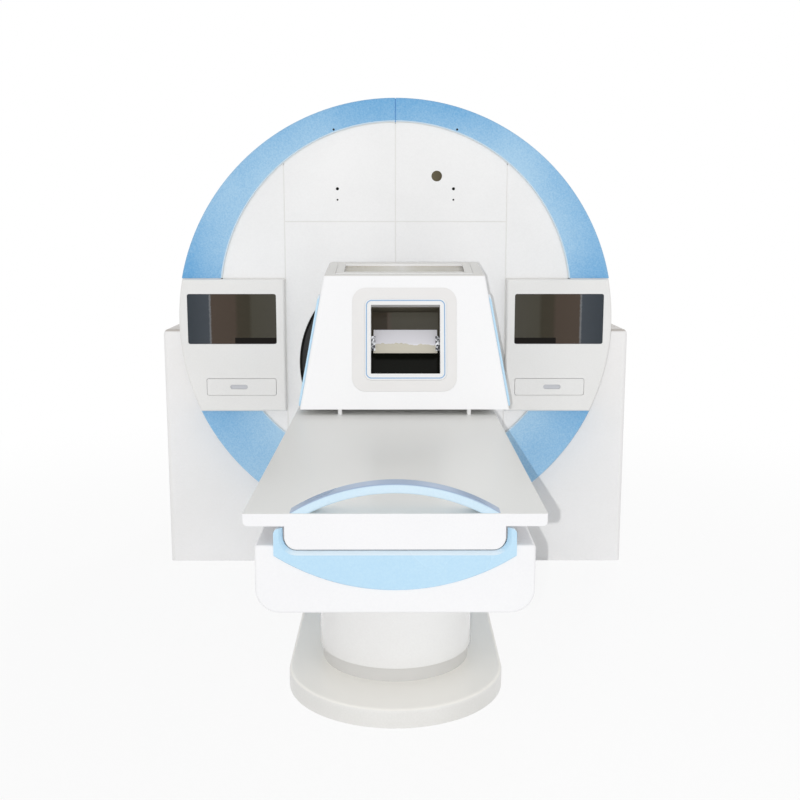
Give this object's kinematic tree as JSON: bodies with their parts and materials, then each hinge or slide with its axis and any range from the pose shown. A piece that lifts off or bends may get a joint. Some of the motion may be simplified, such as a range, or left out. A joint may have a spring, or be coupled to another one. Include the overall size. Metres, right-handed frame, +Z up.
{
  "type": "mri scanner",
  "caption": "Bore scanner with a round panelled front, side screen pods, a wide low cabinet, and a sliding table on a lifting column with a windowed hood standing on it.",
  "frame": {"origin": "on the floor, in the middle of the machine's width and length", "axes": "+X to the right seen from the table's foot end, +Y from the foot end back through the bore, +Z up"},
  "size_m": [2.038, 3.16, 2.019],
  "materials": {
    "white_gelcoat": "glossy gel coat",
    "ring_blue": "glossy sky blue",
    "trim_blue": "glossy pale blue",
    "bezel_grey": "satin",
    "screen_glass": "glossy dark brown",
    "dark_lining": "matt black",
    "window_glass": "glossy, nearly black",
    "clear_pane": "clear",
    "bar_sheet": "satin",
    "chrome": "polished",
    "rail_steel": "ground",
    "column_paint": "satin light grey",
    "frame_paint": "satin grey",
    "coil_resin": "cast resin",
    "magnet_paint": "satin"
  },
  "bodies": {
    "gantry": {"back_panel_left": "white_gelcoat", "back_panel_right": "white_gelcoat", "base_plate": "white_gelcoat", "body_coil": "coil_resin", "bore_liner": "dark_lining", "cabinet_shell": "white_gelcoat", "front_frame": "frame_paint", "gradient_coil": "coil_resin", "inner_column": "column_paint", "lift_cylinder": "frame_paint", "magnet": "magnet_paint", "magnet_cradles": "frame_paint", "panel_corner_left": "white_gelcoat", "panel_corner_right": "white_gelcoat", "panel_lower_left": "white_gelcoat", "panel_lower_right": "white_gelcoat", "panel_side_left": "white_gelcoat", "panel_side_right": "white_gelcoat", "panel_upper_left": "white_gelcoat", "panel_upper_right": "white_gelcoat", "port_lens": "screen_glass", "rear_cover": "white_gelcoat", "ring_lower_left": "ring_blue", "ring_lower_right": "ring_blue", "ring_upper_left": "ring_blue", "ring_upper_right": "ring_blue", "screen_left": "screen_glass", "screen_pod_left": "white_gelcoat", "screen_pod_right": "white_gelcoat", "screen_right": "screen_glass", "sight_plugs": "dark_lining", "top_cover": "white_gelcoat"},
    "bed": {"bed_body": "white_gelcoat", "bed_front_cover": "white_gelcoat", "bed_rear_cover": "white_gelcoat", "cradle_trim": "trim_blue", "slide_rail_left": "rail_steel", "slide_rail_right": "rail_steel", "column_shroud": "white_gelcoat", "lift_rod": "rail_steel"},
    "table": {"table_top": "white_gelcoat", "table_handle": "trim_blue", "bearing_blocks": "rail_steel", "hood_shell": "white_gelcoat", "hood_base": "white_gelcoat", "hood_feet": "white_gelcoat", "hood_side_left": "trim_blue", "hood_side_right": "trim_blue", "hood_top_plate": "white_gelcoat", "hood_top_pane": "clear_pane", "window_bezel": "bezel_grey", "window_line": "trim_blue", "window_frame": "white_gelcoat", "window_liner": "dark_lining", "window_glass": "window_glass", "window_bar": "bar_sheet", "bar_clamps": "chrome"},
    "drawer_left": {"drawer_left": "white_gelcoat"},
    "drawer_right": {"drawer_right": "white_gelcoat"}
  },
  "joints": [
    {"name": "bed_lift", "type": "slide", "parent": "gantry", "child": "bed", "axis": [0, 0, 1], "range_m": [0, 0.15]},
    {"name": "table_slide", "type": "slide", "parent": "bed", "child": "table", "axis": [0, 1, 0], "range_m": [-0.45, 0.15]},
    {"name": "drawer_left_slide", "type": "slide", "parent": "gantry", "child": "drawer_left", "axis": [0, -1, 0], "range_m": [0, 0.1]},
    {"name": "drawer_right_slide", "type": "slide", "parent": "gantry", "child": "drawer_right", "axis": [0, -1, 0], "range_m": [0, 0.1]}
  ]
}
